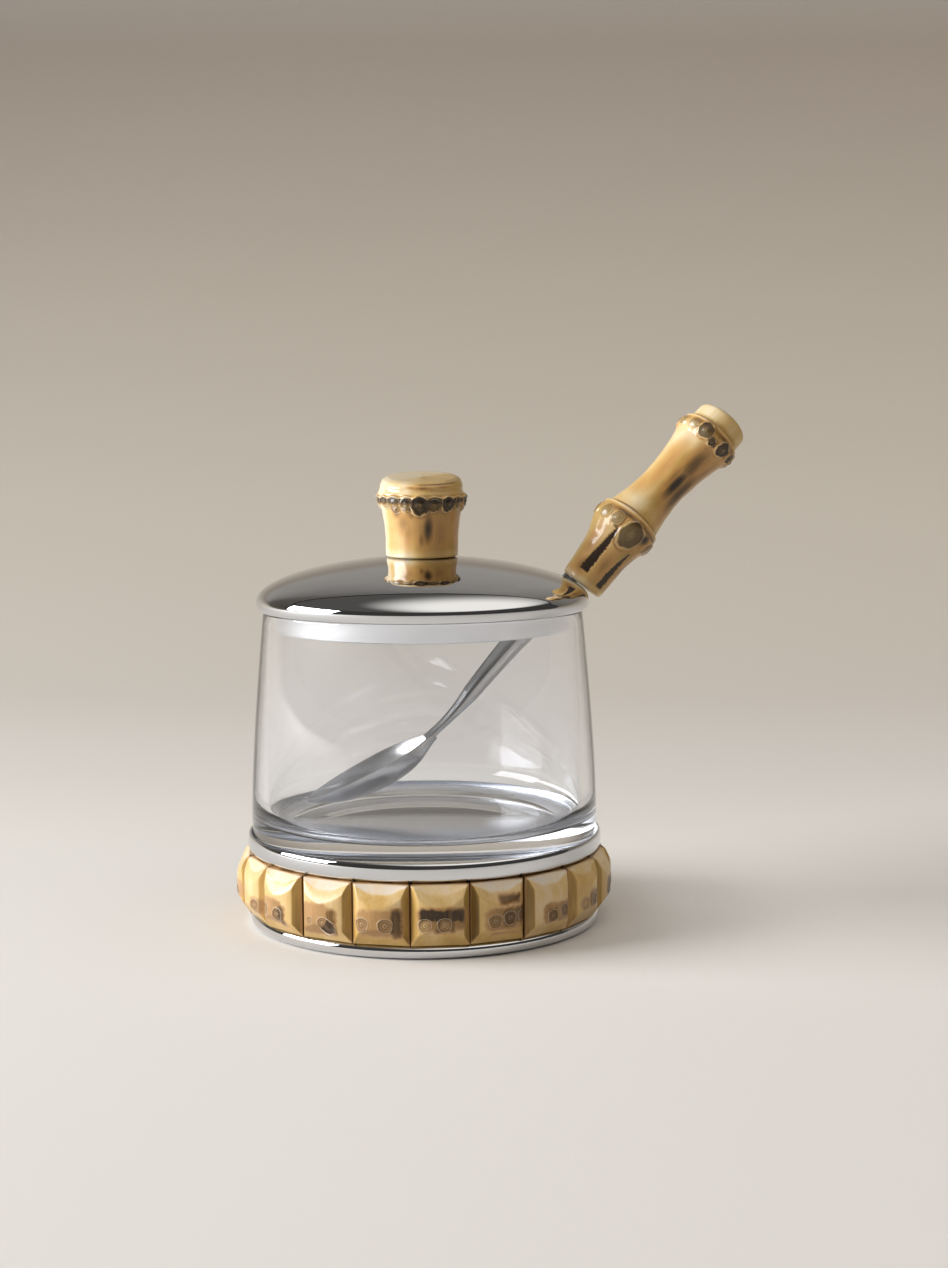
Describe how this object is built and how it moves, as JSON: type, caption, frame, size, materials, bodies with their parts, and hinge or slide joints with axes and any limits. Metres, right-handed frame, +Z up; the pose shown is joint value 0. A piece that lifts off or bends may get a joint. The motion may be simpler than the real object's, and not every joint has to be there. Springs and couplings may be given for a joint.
{
  "type": "jelly jar",
  "caption": "Covered glass jelly jar on a round base of bamboo root blocks between chrome rings, with a domed chrome lid, bamboo root knob and a spoon that passes through a notch in the lid.",
  "frame": {"origin": "on the table, at the jar's axis, in the middle of the foot's felt pad", "axes": "+Z up along the jar's axis, +X towards the spoon's notch and handle, which lie in the XZ plane"},
  "size_m": [0.1476, 0.1086, 0.1475],
  "materials": {
    "felt": "matt pressed felt",
    "polished_chrome": "mirror polished chrome plate",
    "turned_core": "plain turned wood, sealed",
    "screw_steel": "plain zinc plated",
    "clear_glass": "clear, polished",
    "bamboo_root": "honey lacquer, gloss",
    "bamboo_block": "honey lacquer, gloss",
    "spoon_steel": "polished stainless steel"
  },
  "bodies": {
    "root": {"foot_pad": "felt", "foot_flange": "polished_chrome", "base_core": "turned_core", "cup": "polished_chrome", "base_screws": "screw_steel", "block_01": "bamboo_block", "block_02": "bamboo_block", "block_03": "bamboo_block", "block_04": "bamboo_block", "block_05": "bamboo_block", "block_06": "bamboo_block", "block_07": "bamboo_block", "block_08": "bamboo_block", "block_09": "bamboo_block", "block_10": "bamboo_block", "block_11": "bamboo_block", "block_12": "bamboo_block", "block_13": "bamboo_block", "block_14": "bamboo_block", "block_15": "bamboo_block", "block_16": "bamboo_block", "block_17": "bamboo_block", "block_18": "bamboo_block", "block_19": "bamboo_block", "block_20": "bamboo_block"},
    "jar": {"glass_jar": "clear_glass"},
    "lid": {"lid_dome": "polished_chrome", "lid_plug": "polished_chrome", "knob": "bamboo_root", "knob_screw": "screw_steel", "knob_washer": "screw_steel"},
    "spoon": {"spoon_bowl": "spoon_steel", "spoon_shaft": "spoon_steel", "handle_stud": "screw_steel", "spoon_handle": "bamboo_root"}
  },
  "joints": [
    {"name": "jar_lift", "type": "slide", "parent": "root", "child": "jar", "axis": [0, 0, 1], "range_m": [0, 0.03]},
    {"name": "lid_lift", "type": "slide", "parent": "jar", "child": "lid", "axis": [0, 0, 1], "range_m": [0, 0.07]},
    {"name": "spoon_slide", "type": "slide", "parent": "lid", "child": "spoon", "axis": [0.6947, 0, 0.7193], "range_m": [0, 0.035]}
  ]
}
